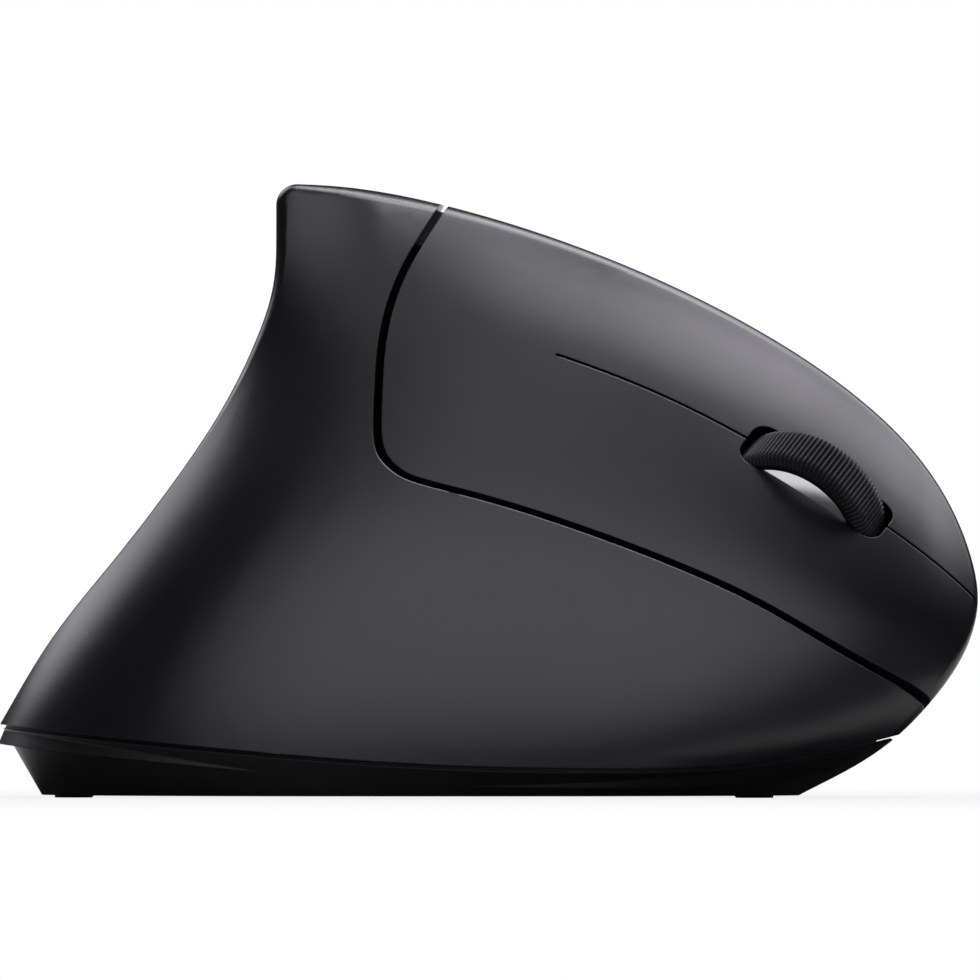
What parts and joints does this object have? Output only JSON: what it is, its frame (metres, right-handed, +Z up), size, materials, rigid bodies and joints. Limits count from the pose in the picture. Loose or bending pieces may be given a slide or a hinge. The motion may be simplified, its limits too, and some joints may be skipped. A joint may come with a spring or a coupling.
{
  "type": "vertical ergonomic mouse",
  "caption": "Upright right-hand mouse with a sloped finger side, two long click plates, a scroll wheel between them, thumb buttons and a low base.",
  "frame": {"origin": "middle of the whole shape's box, on the plane the glide feet rest on", "axes": "+Z up, +Y towards the front where the fingertips lie, +X towards the finger side"},
  "size_m": [0.0638, 0.1206, 0.0756],
  "materials": {
    "soft_black": "soft-touch matte",
    "base_black": "fine satin",
    "inner_black": "matte",
    "tyre_rubber": "matte ribbed rubber",
    "hub_black": "satin",
    "bright_metal": "polished",
    "steel": "bright",
    "encoder_green": "matte",
    "switch_black": "matte",
    "plunger_white": "matte",
    "board_green": "lacquered board",
    "header_white": "matte",
    "thumb_black": "satin gloss",
    "cell_jacket": "printed-free jacket",
    "receiver_black": "gloss",
    "clear_lens": "clear",
    "led_clear": "clear red",
    "wire_jacket": "soft jacket",
    "glide_black": "slick glide"
  },
  "bodies": {
    "chassis": {"base_shell": "base_black", "palm_shell": "soft_black", "thumb_shell": "soft_black", "button_plate": "soft_black", "button_frame": "inner_black", "pivot_bearings": "inner_black", "wheel_switch": "switch_black", "index_switch": "switch_black", "middle_switch": "switch_black", "button_board": "board_green", "button_board_screws": "steel", "button_header": "header_white", "thumb_board": "board_green", "back_switch": "switch_black", "forward_switch": "switch_black", "thumb_board_screws": "steel", "battery_left": "cell_jacket", "battery_right": "cell_jacket", "battery_contacts": "steel", "battery_springs": "steel", "main_board": "board_green", "main_board_screws": "steel", "sensor_lens": "clear_lens", "sensor_chip": "switch_black", "sensor_led": "led_clear", "control_chip": "switch_black", "crystal": "steel", "main_header": "header_white", "board_wires": "wire_jacket", "power_switch": "switch_black", "glide_foot_front": "glide_black", "glide_foot_rear": "glide_black"},
    "index_key": {"index_button": "soft_black"},
    "middle_key": {"middle_button": "soft_black"},
    "index_pin": {"index_plunger": "plunger_white"},
    "middle_pin": {"middle_plunger": "plunger_white"},
    "carrier": {"wheel_carrier": "inner_black", "scroll_encoder": "encoder_green"},
    "wheel": {"wheel_tyre": "tyre_rubber", "wheel_hub": "hub_black", "wheel_disc_lower": "bright_metal", "wheel_disc_upper": "bright_metal", "wheel_axle": "steel"},
    "wheel_pin": {"wheel_plunger": "plunger_white"},
    "back_key": {"back_button": "thumb_black"},
    "forward_key": {"forward_button": "thumb_black"},
    "door": {"battery_door": "base_black"},
    "receiver": {"usb_receiver": "receiver_black"},
    "slider": {"power_slider": "plunger_white"}
  },
  "joints": [
    {"name": "index_click", "type": "hinge", "parent": "chassis", "child": "index_key", "pos_m": [-0.00072, 0.00637, 0.05085], "axis": [-0.7108, 0.4341, 0.5534], "range_deg": [0, 0.6], "stiffness_Nm_per_rad": 2},
    {"name": "middle_click", "type": "hinge", "parent": "chassis", "child": "middle_key", "pos_m": [-0.00072, 0.00637, 0.05085], "axis": [-0.7108, 0.4341, 0.5534], "range_deg": [0, 0.6], "stiffness_Nm_per_rad": 2},
    {"name": "index_pin_press", "type": "slide", "parent": "chassis", "child": "index_pin", "axis": [-0.6979, -0.3371, -0.6319], "range_m": [0, 0.0005]},
    {"name": "middle_pin_press", "type": "slide", "parent": "chassis", "child": "middle_pin", "axis": [-0.6979, -0.3371, -0.6319], "range_m": [0, 0.0005]},
    {"name": "wheel_click", "type": "hinge", "parent": "chassis", "child": "carrier", "pos_m": [0.00091, 0.02444, 0.03877], "axis": [-0.7108, 0.4341, 0.5534], "range_deg": [0, 1], "stiffness_Nm_per_rad": 0.7},
    {"name": "wheel_spin", "type": "hinge", "parent": "carrier", "child": "wheel", "pos_m": [0.00625, 0.03813, 0.0349], "axis": [-0.7108, 0.4341, 0.5534], "continuous": true},
    {"name": "wheel_pin_press", "type": "slide", "parent": "chassis", "child": "wheel_pin", "axis": [-0.6979, -0.3371, -0.6319], "range_m": [0, 0.0008]},
    {"name": "back_press", "type": "slide", "parent": "chassis", "child": "back_key", "axis": [0.9834, -0.0439, -0.1761], "range_m": [0, 0.00035], "stiffness_N_per_m": 1500},
    {"name": "forward_press", "type": "slide", "parent": "chassis", "child": "forward_key", "axis": [0.9834, -0.0439, -0.1761], "range_m": [0, 0.00035], "stiffness_N_per_m": 1500},
    {"name": "door_drop", "type": "slide", "parent": "chassis", "child": "door", "axis": [0, 0, -1], "range_m": [0, 0.02]},
    {"name": "receiver_pull", "type": "slide", "parent": "chassis", "child": "receiver", "axis": [0, 0, -1], "range_m": [0, 0.025]},
    {"name": "power_slide", "type": "slide", "parent": "chassis", "child": "slider", "axis": [0, 1, 0], "range_m": [0, 0.002]}
  ],
  "couplings": [
    {"joint": "index_pin_press", "follows": "index_click", "m_per_rad": 0.0332},
    {"joint": "middle_pin_press", "follows": "middle_click", "m_per_rad": 0.0332},
    {"joint": "wheel_pin_press", "follows": "wheel_click", "m_per_rad": 0.0288}
  ]
}
